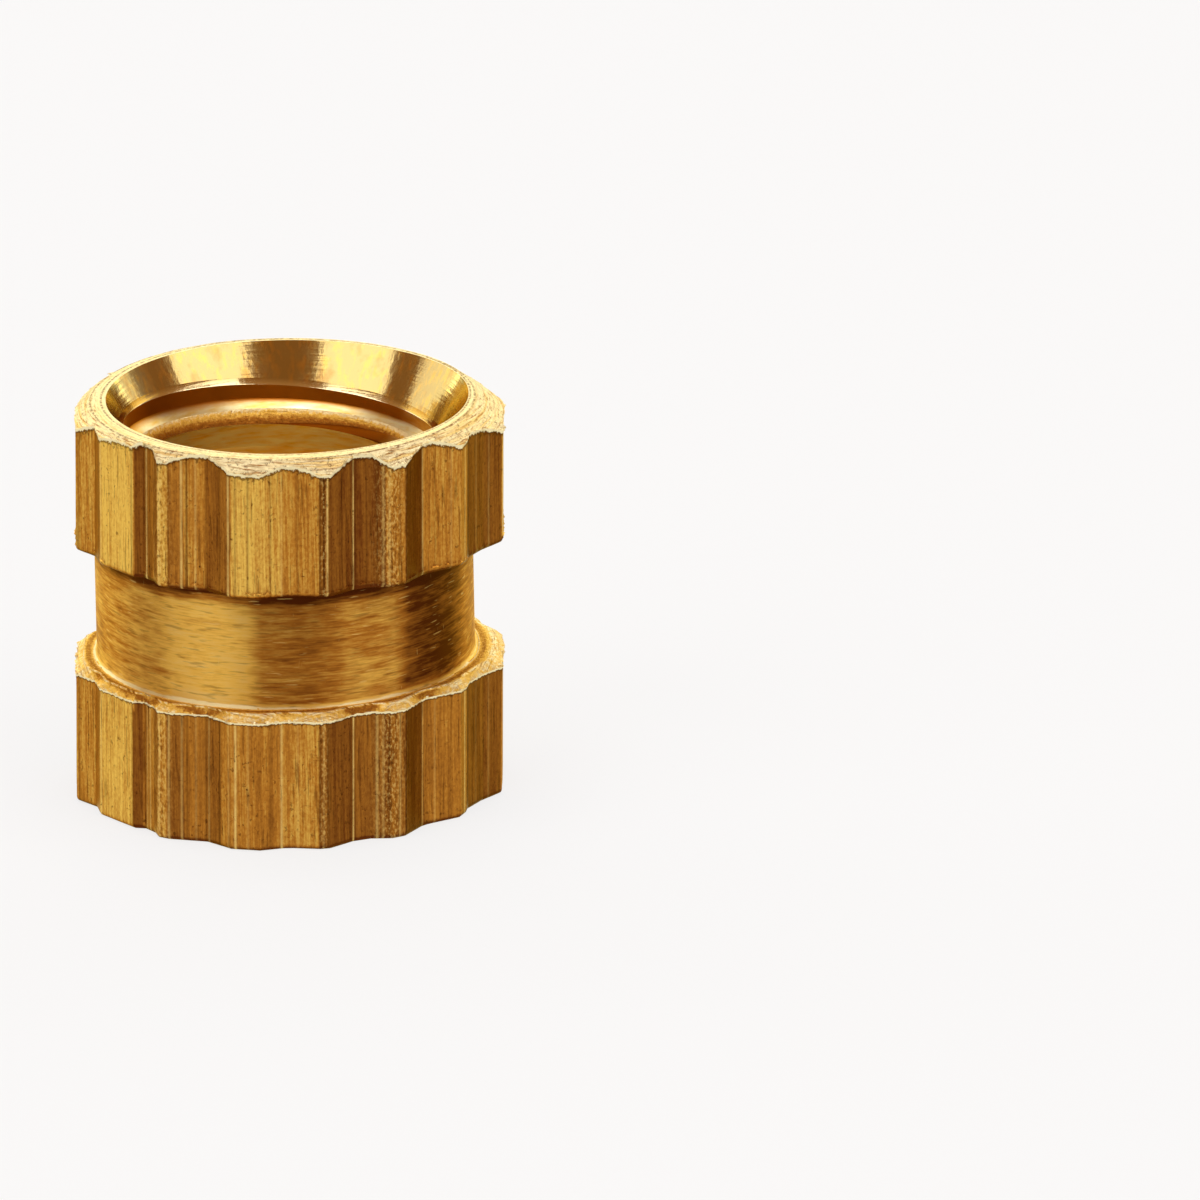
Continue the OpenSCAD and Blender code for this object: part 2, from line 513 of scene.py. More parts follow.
def add(tree, kind, inputs=None, out=0, **settings):
    """Adds a node with its settings, gives each input a value or a link, and returns an output."""
    node = tree.nodes.new(kind)
    for name, value in settings.items():
        setattr(node, name, value)
    for key, value in (inputs or {}).items():
        if isinstance(value, bpy.types.NodeSocket):
            tree.links.new(value, node.inputs[key])
        else:
            node.inputs[key].default_value = value
    return node.outputs[out]


def lumps_of(*millimetres):
    """The scale that makes the lumps of a noise texture this long along each axis."""
    return [1 / (size * MM) for size in millimetres]


def surface(tree, shader, base, layers, height, relief):
    """Gives the shader a base colour with layers over it, each one where its mask is 1, and a relief
    of this height in metres for each unit."""
    colour = base
    for mask, tint in layers:
        colour = add(tree, "ShaderNodeMix", {0: mask, 6: colour, 7: tint}, out=2, data_type="RGBA")
    bump = add(tree, "ShaderNodeBump", {"Height": height, "Distance": relief})
    tree.links.new(colour, shader.inputs["Base Color"])
    tree.links.new(bump, shader.inputs["Normal"])


def metal(name, c):
    """A new material with a metallic shader, gold where it is seen edge on. Returns the material,
    its tree, its shader and its Object coordinates."""
    material = bpy.data.materials.new(name)
    material.use_nodes = True
    tree = material.node_tree
    shader = tree.nodes["Principled BSDF"]
    shader.inputs["Metallic"].default_value = 1.0
    shader.inputs["Specular Tint"].default_value = c.fresh
    return material, tree, shader, add(tree, "ShaderNodeTexCoord", out="Object")


def knurled_brass(c):
    """Drawn brass bar, rolled by a worn knurling wheel and left bare: fine upright drawing lines,
    facets painted from lit gold to shaded brown, dark pits and nicks, thin painted highlights and
    lines of painted shade along the teeth's edges, and a pale ragged fringe where the lathe tool tore
    the ends of the teeth, with a painted shadow line beneath it."""
    material, tree, shader, place = metal("knurled_brass", c)
    patterns = []
    for lumps, detail, roughness in (
        # Drawing lines are about 0.005 mm wide, too fine to show, so these are drawn coarser.
        ((0.022, 0.022, 1.0), 4.0, 0.75),
        ((0.028, 0.028, 0.5), 1.0, 0.5),      # scratches up and down
        ((0.09, 0.09, 2.0), 2.0, 0.5),        # broad lines
        ((0.14, 0.14, 0.22), 5.0, 0.7),       # clouds of oil
        ((0.025, 0.025, 0.045), 2.0, 0.6),    # grain
        ((0.035, 0.035, 0.05), 2.0, 0.5),     # pits
        ((0.11, 0.11, 0.02), 2.0, 0.5),       # nicks across
        ((0.04, 0.04, 0.05), 4.0, 0.65),      # torn ends
    ):
        spread = add(tree, "ShaderNodeMapping", {0: place, 3: lumps_of(*lumps)})
        patterns.append(add(tree, "ShaderNodeTexNoise", {0: spread, 2: 1.0, 3: detail, 4: roughness}))
    lines, scratch, broad, cloud, grain, pits, nicks, torn = patterns
    painted_edge_lines, painted_light, cut_end, rough_crest = (
        add(tree, "ShaderNodeAttribute", out="Fac", attribute_name=name)
        for name in ("painted_edge_lines", "painted_light", "cut", "rough")
    )

    # Tone, from 0 to 1: each facet's painted light and shade, with the drawing lines, clouds and grain
    # over it
    streak = add(tree, "ShaderNodeMapRange", {0: lines, 1: 0.4, 2: 0.6, 3: -0.13, 4: 0.17})
    patch = add(tree, "ShaderNodeMapRange", {0: cloud, 1: 0.3, 2: 0.7, 3: -0.1, 4: 0.12})
    fine = add(tree, "ShaderNodeMapRange", {0: grain, 1: 0.35, 2: 0.65, 3: -0.1, 4: 0.1})
    uneven = add(tree, "ShaderNodeMath", {0: streak, 1: patch}, operation="ADD")
    uneven = add(tree, "ShaderNodeMath", {0: uneven, 1: fine}, operation="ADD")
    # The drawing lines fade in the facets painted dark.
    clear = add(tree, "ShaderNodeMapRange", {0: painted_light, 1: 0.1, 2: 0.6, 3: 0.35})
    tone = add(tree, "ShaderNodeMath", {0: uneven, 1: clear, 2: painted_light}, operation="MULTIPLY_ADD")
    band = add(tree, "ShaderNodeMapRange", {0: broad, 1: 0.4, 2: 0.6, 3: -0.03, 4: 0.06})
    tone = add(tree, "ShaderNodeMath", {0: tone, 1: band}, operation="ADD")

    low = add(tree, "ShaderNodeMapRange", {0: tone, 1: 0.0, 2: 0.5})
    high = add(tree, "ShaderNodeMapRange", {0: tone, 1: 0.5, 2: 1.0})
    # A cloud breaks the painted highlight lines along the teeth into patches, and the lines below 0 are
    # painted shade.
    worn = add(tree, "ShaderNodeMapRange", {0: cloud, 1: 0.3, 2: 0.6, 3: 0.3})
    rubbed_and_highlit = add(tree, "ShaderNodeMath", {0: painted_edge_lines, 1: worn}, operation="MULTIPLY", use_clamp=True)
    painted_edge_shade = add(tree, "ShaderNodeMath", {0: painted_edge_lines, 1: -0.8}, operation="MULTIPLY", use_clamp=True)

    # Pale specks and dark holes on the torn crests, then scratches, pits and nicks all over
    specks = add(tree, "ShaderNodeMapRange", {0: grain, 1: 0.52, 2: 0.62})
    torn_crest = add(tree, "ShaderNodeMath", {0: rough_crest, 1: 0.4}, operation="MULTIPLY")
    specks = add(tree, "ShaderNodeMath", {0: specks, 1: torn_crest}, operation="MULTIPLY")
    holes = add(tree, "ShaderNodeMapRange", {0: grain, 1: 0.44, 2: 0.36})
    holes = add(tree, "ShaderNodeMath", {0: holes, 1: torn_crest}, operation="MULTIPLY")
    scored = add(tree, "ShaderNodeMapRange", {0: scratch, 1: 0.64, 2: 0.7})
    deep_pits = add(tree, "ShaderNodeMapRange", {0: pits, 1: 0.63, 2: 0.7, 4: 0.8})
    thin_nicks = add(tree, "ShaderNodeMapRange", {0: nicks, 1: 0.66, 2: 0.78, 4: 0.7})
    marks = add(tree, "ShaderNodeMath", {0: deep_pits, 1: thin_nicks}, operation="MAXIMUM")
    where = add(tree, "ShaderNodeMapRange", {0: cloud, 1: 0.42, 2: 0.58, 3: 0.1, 4: 0.7})
    marks = add(tree, "ShaderNodeMath", {0: marks, 1: where}, operation="MULTIPLY")
    marks = add(tree, "ShaderNodeMath", {0: marks, 1: holes}, operation="MAXIMUM")
    marks = add(tree, "ShaderNodeMath", {0: scored, 1: 0.4, 2: marks}, operation="MULTIPLY_ADD")

    # The pale fringe at the cut ends, with a painted shadow line beneath it where the burr overhangs
    fringe = add(tree, "ShaderNodeMath", {0: cut_end, 1: torn}, operation="ADD")
    painted_burr_shadow = add(tree, "ShaderNodeMapRange", {0: fringe, 1: 0.74, 2: 0.86, 4: 0.7})
    fringe = add(tree, "ShaderNodeMapRange", {0: fringe, 1: 0.96, 2: 1.06})

    rough = add(tree, "ShaderNodeMapRange", {0: cloud, 1: 0.3, 2: 0.7, 3: 0.28, 4: 0.44})
    tree.links.new(rough, shader.inputs["Roughness"])
    height = add(tree, "ShaderNodeMath", {0: broad, 1: 2.0, 2: lines}, operation="MULTIPLY_ADD")
    height = add(tree, "ShaderNodeMath", {0: marks, 1: -1.5, 2: height}, operation="MULTIPLY_ADD")
    ragged = add(tree, "ShaderNodeMath", {0: torn, 1: fringe}, operation="MULTIPLY")
    height = add(tree, "ShaderNodeMath", {0: ragged, 1: 3.0, 2: height}, operation="MULTIPLY_ADD")
    layers = (
        (low, c.brass), (high, c.bright), (rubbed_and_highlit, c.rubbed_and_highlit), (painted_edge_shade, c.pit_and_shade), (specks, c.rubbed_and_highlit),
        (marks, c.pit_and_shade), (painted_burr_shadow, c.pit_and_shade), (fringe, c.fresh),
    )
    surface(tree, shader, c.deep, layers, height, 2.5e-6)
    return material


def faced_brass(c):
    """Brass faced and chamfered on the lathe: pale, freshly cut metal that glitters, with broken
    tool lines round the axis and brown tears between them, more of them on the chamfer."""
    material, tree, shader, place = metal("faced_brass", c)
    right = add(tree, "ShaderNodeSeparateXYZ", {0: place}, out="X")
    back = add(tree, "ShaderNodeSeparateXYZ", {0: place}, out="Y")
    front = add(tree, "ShaderNodeMath", {0: back, 1: -1.0}, operation="MULTIPLY")
    turn = add(tree, "ShaderNodeMath", {0: right, 1: front}, operation="ARCTAN2")
    around = add(tree, "ShaderNodeMath", {0: turn, 1: CREST_R}, operation="MULTIPLY")
    flat = add(tree, "ShaderNodeVectorMath", {0: place, 1: (1, 1, 0)}, operation="MULTIPLY")
    radius = add(tree, "ShaderNodeVectorMath", {0: flat}, out="Value", operation="LENGTH")
    polar = add(tree, "ShaderNodeCombineXYZ", {0: around, 1: radius, 2: 0.0})
    patterns = []
    for laid, lumps, detail, roughness in (
        (polar, (0.22, 0.018, 1), 3.0, 0.7),       # lines at the feed of the tool
        (polar, (1.6, 0.03, 1), 2.0, 0.6),         # rings
        (place, (0.04, 0.04, 0.04), 5.0, 0.75),    # torn metal
    ):
        spread = add(tree, "ShaderNodeMapping", {0: laid, 3: lumps_of(*lumps)})
        patterns.append(add(tree, "ShaderNodeTexNoise", {0: spread, 2: 1.0, 3: detail, 4: roughness}))
    lines, rings, torn = patterns
    outer = add(tree, "ShaderNodeMapRange", {0: radius, 1: 1.83 * MM, 2: 1.93 * MM, 3: 0.35})
    # Broken dark lines where the chamfer starts, round its own axis, and just outside the mouth
    chamfer_line, mouth_line = 1.885 * MM, 1.812 * MM
    centre = (CHAMFER_OFF[0] * MM, CHAMFER_OFF[1] * MM, 0)
    off = add(tree, "ShaderNodeVectorMath", {0: flat, 1: centre}, operation="SUBTRACT")
    from_axis = add(tree, "ShaderNodeVectorMath", {0: off}, out="Value", operation="LENGTH")
    past = add(tree, "ShaderNodeMath", {0: from_axis, 1: -chamfer_line}, operation="ADD")
    past = add(tree, "ShaderNodeMath", {0: past}, operation="ABSOLUTE")
    rim = add(tree, "ShaderNodeMath", {0: radius, 1: -mouth_line}, operation="ADD")
    rim = add(tree, "ShaderNodeMath", {0: rim}, operation="ABSOLUTE")
    past = add(tree, "ShaderNodeMath", {0: past, 1: rim}, operation="MINIMUM")
    corner = add(tree, "ShaderNodeMapRange", {0: past, 1: 0.005 * MM, 2: 0.016 * MM, 3: 0.8, 4: 0.0})

    ringed = add(tree, "ShaderNodeMapRange", {0: rings, 1: 0.5, 2: 0.64, 4: 0.6})
    ringed = add(tree, "ShaderNodeMath", {0: ringed, 1: outer}, operation="MULTIPLY")
    lined = add(tree, "ShaderNodeMapRange", {0: lines, 1: 0.5, 2: 0.66, 4: 0.95})
    lined = add(tree, "ShaderNodeMath", {0: lined, 1: outer}, operation="MULTIPLY")
    tears = add(tree, "ShaderNodeMapRange", {0: torn, 1: 0.54, 2: 0.68, 4: 0.9})
    tears = add(tree, "ShaderNodeMath", {0: tears, 1: outer}, operation="MULTIPLY")
    broken = add(tree, "ShaderNodeMapRange", {0: torn, 1: 0.4, 2: 0.55})
    corner = add(tree, "ShaderNodeMath", {0: corner, 1: broken}, operation="MULTIPLY")
    tears = add(tree, "ShaderNodeMath", {0: tears, 1: corner}, operation="MAXIMUM")
    # This mark is painted shade on the countersink's strips below the first, and a browner tone on the
    # lower band's shoulder
    oil_and_shade = add(tree, "ShaderNodeAttribute", out="Fac", attribute_name="oil_and_shade")
    soiled_and_shaded = add(tree, "ShaderNodeMath", {0: torn, 1: oil_and_shade}, operation="ADD")
    layers = [(ringed, c.bright), (lined, c.brass), (tears, c.deep)]
    for least, most, share, stain_and_shade in (
        (0.65, 0.85, 1.0, c.bright), (0.85, 1.2, 1.0, c.brass), (1.0, 1.5, 0.7, c.deep),
    ):
        oiled_and_shaded = add(tree, "ShaderNodeMapRange", {0: soiled_and_shaded, 1: least, 2: most, 4: share})
        layers.append((oiled_and_shaded, stain_and_shade))
    rough = add(tree, "ShaderNodeMapRange", {0: torn, 1: 0.3, 2: 0.7, 3: 0.3, 4: 0.5})
    tree.links.new(rough, shader.inputs["Roughness"])
    height = add(tree, "ShaderNodeMath", {0: torn, 1: 2.0, 2: rings}, operation="MULTIPLY_ADD")
    height = add(tree, "ShaderNodeMath", {0: lined, 1: -0.6, 2: height}, operation="MULTIPLY_ADD")
    surface(tree, shader, c.fresh, layers, height, 8e-6)
    return material


def turned_brass(c):
    """Brass turned to a waist: fine lines round the bar, which draw a lamp's reflection out up and
    down, upright bands of painted reflection, light and dark, a painted shadow below the upper band,
    a painted highlight on the lower corner, and short scratches with bright edges."""
    material, tree, shader, place = metal("turned_brass", c)
    patterns = []
    for lumps, detail, roughness in (
        ((0.22, 0.22, 0.02), 3.0, 0.6),     # lines at the feed of the tool
        ((0.6, 0.6, 0.06), 2.0, 0.5),       # broad lines
        ((0.4, 0.4, 0.2), 4.0, 0.6),        # clouds of oil
        ((0.2, 0.2, 0.024), 1.0, 0.5),      # scratches round the bar
        ((0.02, 0.02, 0.12), 1.0, 0.5),     # scratches up and down
    ):
        spread = add(tree, "ShaderNodeMapping", {0: place, 3: lumps_of(*lumps)})
        patterns.append(add(tree, "ShaderNodeTexNoise", {0: spread, 2: 1.0, 3: detail, 4: roughness}))
    lines, broad, cloud, marks, cross = patterns

    # Tone, from 0 in painted shade to 1 in painted light, and more where a highlight is painted
    tone = add(tree, "ShaderNodeAttribute", out="Fac", attribute_name="painted_light")
    for pattern, darker, brighter in ((cloud, -0.24, 0.16), (lines, -0.22, 0.16), (broad, -0.12, 0.12)):
        step = add(tree, "ShaderNodeMapRange", {0: pattern, 1: 0.3, 2: 0.7, 3: darker, 4: brighter})
        tone = add(tree, "ShaderNodeMath", {0: tone, 1: step}, operation="ADD")
    low = add(tree, "ShaderNodeMapRange", {0: tone, 1: 0.0, 2: 0.5})
    high = add(tree, "ShaderNodeMapRange", {0: tone, 1: 0.5, 2: 1.0})
    # Painted glints where the painted light passes 1
    painted_glint = add(tree, "ShaderNodeMapRange", {0: tone, 1: 1.0, 2: 1.35, 4: 0.8})
    long_marks = add(tree, "ShaderNodeMapRange", {0: marks, 1: 0.68, 2: 0.75})
    short_marks = add(tree, "ShaderNodeMapRange", {0: cross, 1: 0.76, 2: 0.84})
    dashes = add(tree, "ShaderNodeMapRange", {0: marks, 1: 0.42, 2: 0.28, 4: 0.35})
    scratches = add(tree, "ShaderNodeMath", {0: long_marks, 1: short_marks}, operation="MAXIMUM")
    shown = add(tree, "ShaderNodeMath", {0: scratches, 1: 0.5}, operation="MULTIPLY")
    # A pale painted highlight on the waist's lower corner, where the tone passes 1.5
    painted_corner_highlight = add(tree, "ShaderNodeMapRange", {0: tone, 1: 1.5, 2: 1.7})
    rough = add(tree, "ShaderNodeMapRange", {0: cloud, 1: 0.3, 2: 0.7, 3: 0.52, 4: 0.64})
    tree.links.new(rough, shader.inputs["Roughness"])
    height = add(tree, "ShaderNodeMath", {0: broad, 1: 1.5, 2: lines}, operation="MULTIPLY_ADD")
    height = add(tree, "ShaderNodeMath", {0: scratches, 1: -1.0, 2: height}, operation="MULTIPLY_ADD")
    layers = (
        (low, c.brass), (high, c.bright), (painted_glint, c.rubbed_and_highlit), (dashes, c.deep), (shown, c.rubbed_and_highlit),
        (painted_corner_highlight, c.fresh),
    )
    surface(tree, shader, c.deep, layers, height, 1.5e-6)
    shader.inputs["Anisotropic"].default_value = 0.9
    shader.inputs["Anisotropic Rotation"].default_value = 0.25
    tangent = add(tree, "ShaderNodeTangent", direction_type="RADIAL", axis="Z")
    tree.links.new(tangent, shader.inputs["Tangent"])
    return material


def bored_brass(c):
    """Brass countersunk by a drill: the brightest metal, smooth, with faint rings, streaks down the
    cone, a few brown patches of cutting fluid, and a pale line along the bottom edge, painted as its
    highlight."""
    material, tree, shader, place = metal("bored_brass", c)
    patterns = []
    for lumps, detail, roughness in (
        ((0.9, 0.9, 0.03), 2.0, 0.5),      # rings
        ((0.07, 0.07, 0.9), 3.0, 0.6),     # streaks down the cone
        ((0.2, 0.2, 0.35), 4.0, 0.6),      # patches of oil
    ):
        spread = add(tree, "ShaderNodeMapping", {0: place, 3: lumps_of(*lumps)})
        patterns.append(add(tree, "ShaderNodeTexNoise", {0: spread, 2: 1.0, 3: detail, 4: roughness}))
    rings, streaks, oil_and_shade = patterns
    streaked = add(tree, "ShaderNodeMapRange", {0: streaks, 1: 0.48, 2: 0.7, 4: 0.6})
    oiled_and_shaded = add(tree, "ShaderNodeMapRange", {0: oil_and_shade, 1: 0.55, 2: 0.75, 4: 0.5})
    # The bottom edge of the cone, where the thread cuts it, is rounded in the relief and painted pale
    # along it as a highlight.
    centre = (THREAD_OFF * MM, 0, 0)
    off = add(tree, "ShaderNodeVectorMath", {0: place, 1: centre}, operation="SUBTRACT")
    flat = add(tree, "ShaderNodeVectorMath", {0: off, 1: (1, 1, 0)}, operation="MULTIPLY")
    radius = add(tree, "ShaderNodeVectorMath", {0: flat}, out="Value", operation="LENGTH")
    edge = add(tree, "ShaderNodeMapRange", {0: radius, 1: 1.59 * MM, 2: 1.56 * MM})
    rough = add(tree, "ShaderNodeMapRange", {0: oil_and_shade, 1: 0.3, 2: 0.7, 3: 0.12, 4: 0.17})
    tree.links.new(rough, shader.inputs["Roughness"])
    height = add(tree, "ShaderNodeMath", {0: oil_and_shade, 1: 2.0, 2: rings}, operation="MULTIPLY_ADD")
    height = add(tree, "ShaderNodeMath", {0: streaks, 1: 0.5, 2: height}, operation="MULTIPLY_ADD")
    height = add(tree, "ShaderNodeMath", {0: edge, 1: -5.0, 2: height}, operation="MULTIPLY_ADD")
    layers = ((streaked, c.bright), (oiled_and_shaded, c.brass), (edge, c.fresh))
    surface(tree, shader, c.bored, layers, height, 1.5e-6)
    return material


def tapped_brass(c):
    """Brass cut by a tap: smooth gold flanks with a few clouds, and painted brown shade in the first
    root and along the lower edge of the first strip.
    """
    material, tree, shader, place = metal("tapped_brass", c)
    cloud_place = add(tree, "ShaderNodeMapping", {0: place, 3: lumps_of(0.3, 0.3, 0.05)})
    cloud = add(tree, "ShaderNodeTexNoise", {0: cloud_place, 2: 1.0, 3: 3.0, 4: 0.6})
    oil_and_shade = add(tree, "ShaderNodeAttribute", out="Fac", attribute_name="oil_and_shade")
    dulled = add(tree, "ShaderNodeMapRange", {0: cloud, 1: 0.35, 2: 0.7})
    layers = [(dulled, c.bright)]
    for least, most, share, stain_and_shade in ((0.4, 0.8, 1.0, c.brass), (0.7, 1.0, 0.6, c.deep)):
        oiled_and_shaded = add(tree, "ShaderNodeMapRange", {0: oil_and_shade, 1: least, 2: most, 4: share})
        layers.append((oiled_and_shaded, stain_and_shade))
    shader.inputs["Roughness"].default_value = 0.28
    surface(tree, shader, c.fresh, layers, cloud, 2e-6)
    return material


def mark(obj, name, values):
    """Stores one value for each vertex, for the materials."""
    layer = obj.data.attributes.new(name, "FLOAT", "POINT")
    layer.data.foreach_set("value", np.asarray(values, dtype=np.float32))


def mark_knurl(obj, s):
    """Marks how the teeth and the waist shine, and where the teeth are lined and torn."""
    x, y, z = points_of(obj).T
    degrees = np.degrees(np.arctan2(x - BAR_LEAN * (z - MIDDLE_Z), -y))
    above = z > MIDDLE_Z
    _, upper, lower = knurl(degrees, s.tooth_depth)
    from_waist = np.hypot(x - WAIST_OFF * MM, y) - s.waist_radius
    on_waist = (z > s.band - TINY) & (z < HIGH.z - s.band + TINY) & (from_waist < WAIST_REACH * MM)
    waist = np.interp(half_turn(degrees), *zip(*WAIST_PAINTED_LIGHT, strict=True))
    # Painted shadow in the upper corner of the waist, below the band, and a painted highlight on the
    # lower corner.
    from_band = z - (HIGH.z - s.band)
    waist -= 1.3 * bell(from_band, 0.07 * MM)
    waist += 1.3 * bell(z - s.band, 0.035 * MM) * (from_waist < 0.03 * MM)
    # Painted shade along each band's bottom edge: below the upper band, and at the foot over the floor.
    upper = upper - 0.8 * bell(from_band, 0.03 * MM)
    lower = lower - 0.8 * bell(z - LOW.z, 0.03 * MM)
    mark(obj, "painted_light", np.where(on_waist, waist, np.where(above, upper, lower)))
    # The lines stand on the mesh's columns, so that each is one column wide.
    column = 360 / COLUMNS
    painted_edge_lines = sum(
        np.where(above, high, low) * bell(half_turn(degrees - round(a / column) * column), 0.3)
        for a, high, low in LINES
    )
    mark(obj, "painted_edge_lines", painted_edge_lines)
    mark(obj, "rough", sum(bell(half_turn(degrees - a), half) for a, half in ROUGH))
    # How near the torn ends of the teeth are: 1 at the end, and half at 0.03 mm from it, or on the
    # lower band a little less and half at 0.02 mm
    to_end = np.where(above, chamfer_height(x, y, s) - z, s.band - s.shoulder - z)
    halves = np.maximum(to_end, 0) / (np.where(above, 0.03, 0.02) * MM)
    mark(obj, "cut", 0.5**halves - np.where(above, 0, 0.1))


def mark_oil_and_shade(obj, s):
    """Marks painted shade in the first root of the thread and along the lower edge of its first strip,
    towards the back and the left of the hole, and a browner tone on the lower band's shoulder, most
    0.085 mm out from the waist."""
    x, y, z = points_of(obj).T
    radius = np.hypot(x - THREAD_OFF * MM, y)
    from_back = np.degrees(np.arctan2(x, y))
    deep = HIGH.z - z - s.pitch * from_back / 360
    # Painted shade: the first root and the lower edge of the first strip, only towards the back and the
    # left
    first_root = (np.abs(radius - s.thread_major) < 0.02 * MM) & (deep < 0.64 * MM)
    lower_edge = (radius < 1.5 * MM) * np.interp(deep / MM, (0.60, 0.70, 0.85, 0.90), (0, 1, 1, 0))
    oiled_and_shaded = np.interp(from_back, (-110, -75, 45, 75), (0, 1, 1, 0))
    # The lower band's shoulder is browner, most 0.085 mm out from the waist
    on_shoulder = (z > s.band - s.shoulder - TINY) & (z < s.band + TINY) & (radius > s.waist_radius)
    gap = bell(np.hypot(x - WAIST_OFF * MM, y) - s.waist_radius - 0.085 * MM, 0.04 * MM)
    in_bore = oiled_and_shaded * np.where(first_root, 0.85, lower_edge)
    mark(obj, "oil_and_shade", np.where(on_shoulder, 0.25 + 0.5 * gap, in_bore))


def finish_of(face, s):
    """The slot of the finish that this face got from the tool that cut it."""
    across, z = face.center.xy, face.center.z
    radius = across.length
    from_waist = math.hypot(across.x - WAIST_OFF * MM, across.y) - s.waist_radius
    facing_in = face.normal.xy.dot(across) < -0.1 * radius
    deep = min(z - LOW.z, HIGH.z - z)
    on_cone = facing_in and 0.3 < abs(face.normal.z) < 0.62
    # The thread cuts the countersink into strips, and each falls to the right with the helix.
    turn = math.atan2(across.x, across.y) / (2 * math.pi)
    first_strip = max(s.mouth_depth, 0.51 * MM + s.pitch * turn)
    if on_cone and radius < s.mouth_radius + 0.05 * MM and deep < s.mouth_reach:
        return BORED if deep < first_strip else FACED
    if radius < s.thread_major + 0.08 * MM:
        return TAPPED
    foot = face.normal.z < -0.9 and z < s.edge
    chamfer = face.normal.z > 0.45 and z > HIGH.z - 3 * s.top_drop
    near = 0.005 * MM
    shoulder = s.band - 0.9 * s.shoulder < z < s.band + near and from_waist > 0.03 * MM
    if foot or chamfer or shoulder:
        return FACED
    if s.band - near < z < HIGH.z - s.band + near and from_waist < WAIST_REACH * MM:
        return TURNED
    return KNURLED


def finish_insert(obj, s, c):
    """Gives each surface of the insert the brass finish that its tool left."""
    mark_knurl(obj, s)
    mark_oil_and_shade(obj, s)
    obj.data.materials.clear()
    for make in (knurled_brass, faced_brass, turned_brass, bored_brass, tapped_brass):
        obj.data.materials.append(make(c))
    for face in obj.data.polygons:
        face.material_index = finish_of(face, s)


# ---- Studio ----------------------------------------------------------------------------


# Two soft key lamps, a small one and a larger one behind at the sides, a long strip at the back
# and one overhead: azimuth from the front to the right and elevation in degrees, width and height
# in metres, and radiance.
LAMPS = (
    (59, 39, 0.17, 0.13, 1.8), (-53, 39, 0.16, 0.13, 1.8), (128, 18, 0.05, 0.08, 0.9),
    (-121, 17, 0.14, 0.10, 1.2), (180, 24, 0.44, 0.12, 1.7), (0, 86, 0.15, 0.15, 2.2),
)
LAMP_DISTANCE = 0.2


def lamp(context, azimuth, elevation, width, height, radiance):
    """A soft rectangular lamp that faces the insert's middle."""
    a, e = math.radians(azimuth), math.radians(elevation)
    back = Vector((math.sin(a) * math.cos(e), -math.cos(a) * math.cos(e), math.sin(e)))
    data = bpy.data.lights.new("softbox", "AREA")
    data.shape = "RECTANGLE"
    data.size, data.size_y = width, height
    data.energy = radiance * math.pi * width * height
    obj = bpy.data.objects.new("softbox", data)
    context.scene.collection.objects.link(obj)
    obj.location = Vector((0, 0, MIDDLE_Z)) + back * LAMP_DISTANCE
    obj.rotation_mode = "QUATERNION"
    obj.rotation_quaternion = (-back).to_track_quat("-Z", "Y")
    return obj


def add_camera(context):
    """The camera, a long lens 19 degrees above the floor, rolled so that the bar stands upright."""
    elevation, roll = math.radians(18.9), 0.9 * BAR_LEAN
    data = bpy.data.cameras.new("camera")
    camera = bpy.data.objects.new("camera", data)
    context.scene.collection.objects.link(camera)
    data.sensor_width = 36
    data.lens = 800
    data.clip_start, data.clip_end = 0.001, 2
    right = Vector((1, 0, 0))
    back = Vector((0, -math.cos(elevation), math.sin(elevation)))
    up = back.cross(right)
    turned_right = right * math.cos(roll) - up * math.sin(roll)
    turned_up = up * math.cos(roll) + right * math.sin(roll)
    # From the foot's centre to the picture's centre, across and up the picture
    across, above = 3.014 * MM, 1.785 * MM
    aim = turned_right * across + turned_up * above
    distance = 11.82 * MM * data.lens / data.sensor_width
    camera.location = aim + back * distance
    camera.rotation_mode = "QUATERNION"
    camera.rotation_quaternion = Matrix((turned_right, turned_up, back)).transposed().to_quaternion()
    context.scene.camera = camera


def add_world(context, c):
    """A room that is pale behind and above the insert, and dim and warm where the camera stands."""
    world = context.scene.world or bpy.data.worlds.new("studio")
    context.scene.world = world
    world.use_nodes = True
    tree = world.node_tree
    way = add(tree, "ShaderNodeTexCoord", out="Generated")
    back = add(tree, "ShaderNodeSeparateXYZ", {0: way}, out="Y")
    up = add(tree, "ShaderNodeSeparateXYZ", {0: way}, out="Z")
    behind = add(tree, "ShaderNodeMapRange", {0: back, 1: 0.2, 2: 0.9})
    above = add(tree, "ShaderNodeMapRange", {0: up, 1: 0.8, 2: 0.97})
    pale = add(tree, "ShaderNodeMath", {0: behind, 1: above}, operation="MAXIMUM")
    colour = add(tree, "ShaderNodeMix", {0: pale, 6: c.room, 7: c.sky}, out=2, data_type="RGBA")
    tree.links.new(colour, tree.nodes["Background"].inputs["Color"])


